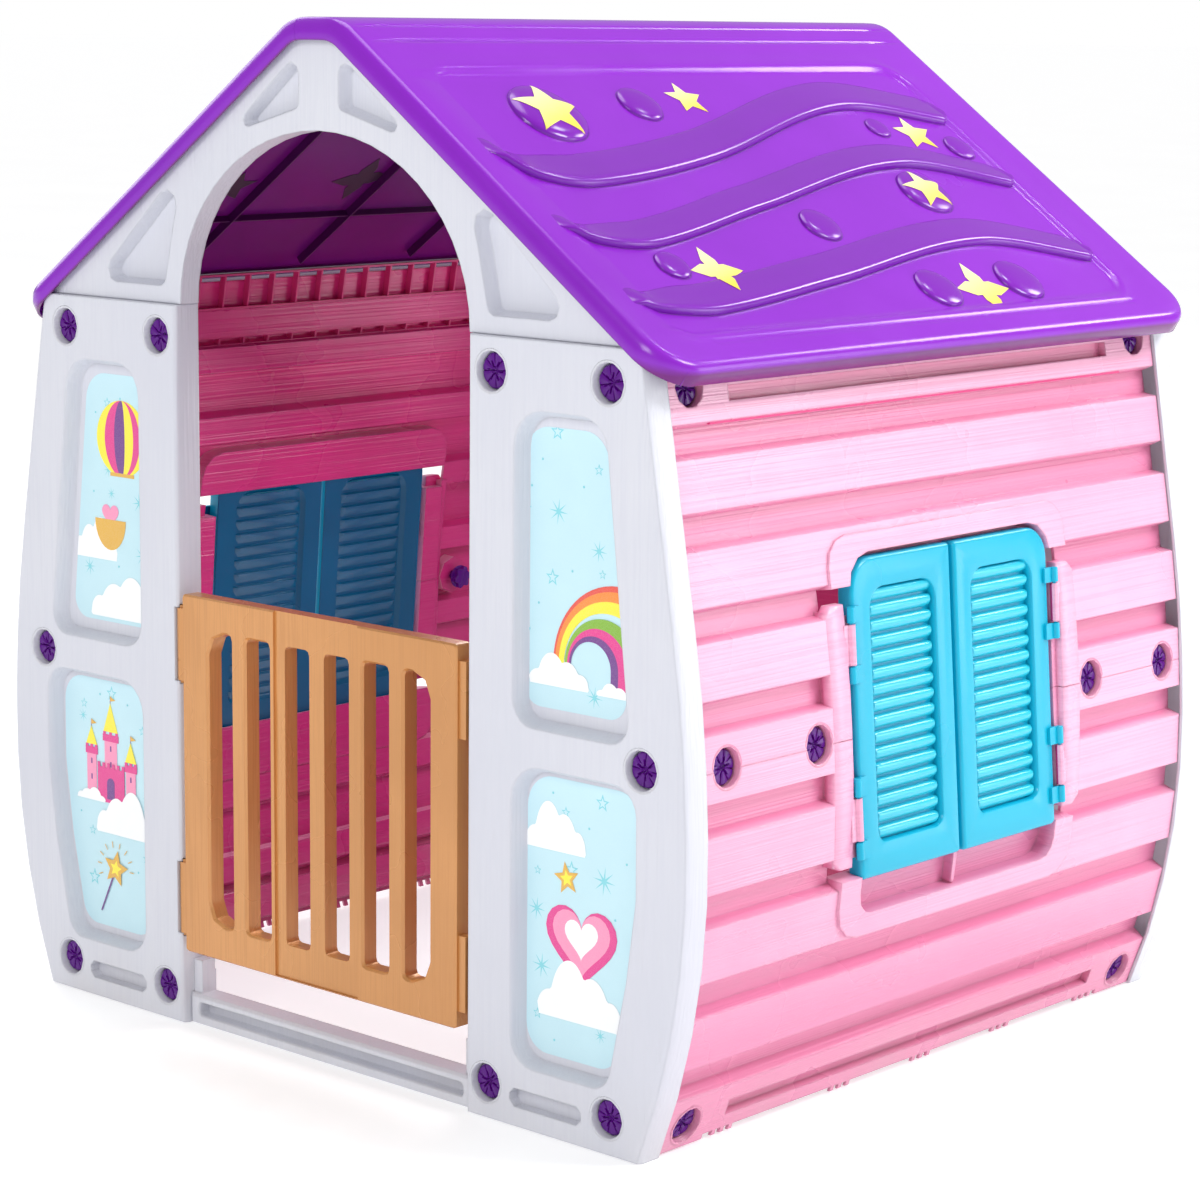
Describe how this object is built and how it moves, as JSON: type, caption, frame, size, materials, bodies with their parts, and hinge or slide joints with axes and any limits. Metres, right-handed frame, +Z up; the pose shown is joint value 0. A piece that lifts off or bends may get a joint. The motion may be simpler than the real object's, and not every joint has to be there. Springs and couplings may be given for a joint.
{
  "type": "plastic playhouse",
  "caption": "Small moulded plastic playhouse with bolted side panels, arched gables, a pitched roof, a barred gate and louvred window shutters that swing open.",
  "frame": {"origin": "on the ground under the middle of the house", "axes": "+Z up; the gate and doorway face -Y; +X is to the right of someone facing the gate"},
  "size_m": [1.0186, 0.9, 1.09],
  "materials": {
    "white": "satin moulded plastic, cool white",
    "pink": "satin moulded plastic with a fine wood grain, pale pink",
    "purple": "glossy moulded plastic, purple",
    "cyan": "satin moulded plastic, light blue",
    "gold": "satin moulded plastic, golden tan",
    "violet": "glossy moulded plastic, dark violet"
  },
  "bodies": {
    "house": {"front_gable": "white", "front_left_bolt_1": "violet", "front_left_bolt_2": "violet", "front_left_bolt_3": "violet", "front_left_bolt_4": "violet", "front_left_bolt_5": "violet", "front_left_panel": "white", "front_right_bolt_1": "violet", "front_right_bolt_2": "violet", "front_right_bolt_3": "violet", "front_right_bolt_4": "violet", "front_right_bolt_5": "violet", "front_right_panel": "white", "front_sill": "white", "left_wall_front_bolt_1": "violet", "left_wall_front_bolt_2": "violet", "left_wall_front_bolt_3": "violet", "left_wall_front_bolt_4": "violet", "left_wall_lower": "pink", "left_wall_rear_bolt_1": "violet", "left_wall_rear_bolt_2": "violet", "left_wall_rear_bolt_3": "violet", "left_wall_rear_bolt_4": "violet", "left_wall_upper": "pink", "rear_gable": "white", "rear_infill": "pink", "rear_left_bolt_1": "violet", "rear_left_bolt_2": "violet", "rear_left_bolt_3": "violet", "rear_left_bolt_4": "violet", "rear_left_bolt_5": "violet", "rear_left_panel": "white", "rear_right_bolt_1": "violet", "rear_right_bolt_2": "violet", "rear_right_bolt_3": "violet", "rear_right_bolt_4": "violet", "rear_right_bolt_5": "violet", "rear_right_panel": "white", "right_wall_front_bolt_1": "violet", "right_wall_front_bolt_2": "violet", "right_wall_front_bolt_3": "violet", "right_wall_front_bolt_4": "violet", "right_wall_lower": "pink", "right_wall_rear_bolt_1": "violet", "right_wall_rear_bolt_2": "violet", "right_wall_rear_bolt_3": "violet", "right_wall_rear_bolt_4": "violet", "right_wall_upper": "pink", "roof_left": "purple", "roof_right": "purple"},
    "gate": {"gate": "gold"},
    "left_shutter_front": {"left_shutter_front": "cyan"},
    "left_shutter_rear": {"left_shutter_rear": "cyan"},
    "right_shutter_front": {"right_shutter_front": "cyan"},
    "right_shutter_rear": {"right_shutter_rear": "cyan"}
  },
  "joints": [
    {"name": "gate_hinge", "type": "hinge", "parent": "house", "child": "gate", "pos_m": [-0.217, -0.4395, 0.283], "axis": [0, 0, -1], "range_deg": [0, 100]},
    {"name": "right_shutter_front_hinge", "type": "hinge", "parent": "house", "child": "right_shutter_front", "pos_m": [0.49369, -0.1765, 0.40326], "axis": [0.08, 0, -0.9968], "range_deg": [0, 120]},
    {"name": "right_shutter_rear_hinge", "type": "hinge", "parent": "house", "child": "right_shutter_rear", "pos_m": [0.49369, 0.1765, 0.40326], "axis": [-0.08, 0, 0.9968], "range_deg": [0, 120]},
    {"name": "left_shutter_front_hinge", "type": "hinge", "parent": "house", "child": "left_shutter_front", "pos_m": [-0.49369, -0.1765, 0.40326], "axis": [0.08, 0, 0.9968], "range_deg": [0, 120]},
    {"name": "left_shutter_rear_hinge", "type": "hinge", "parent": "house", "child": "left_shutter_rear", "pos_m": [-0.49369, 0.1765, 0.40326], "axis": [-0.08, 0, -0.9968], "range_deg": [0, 120]}
  ]
}
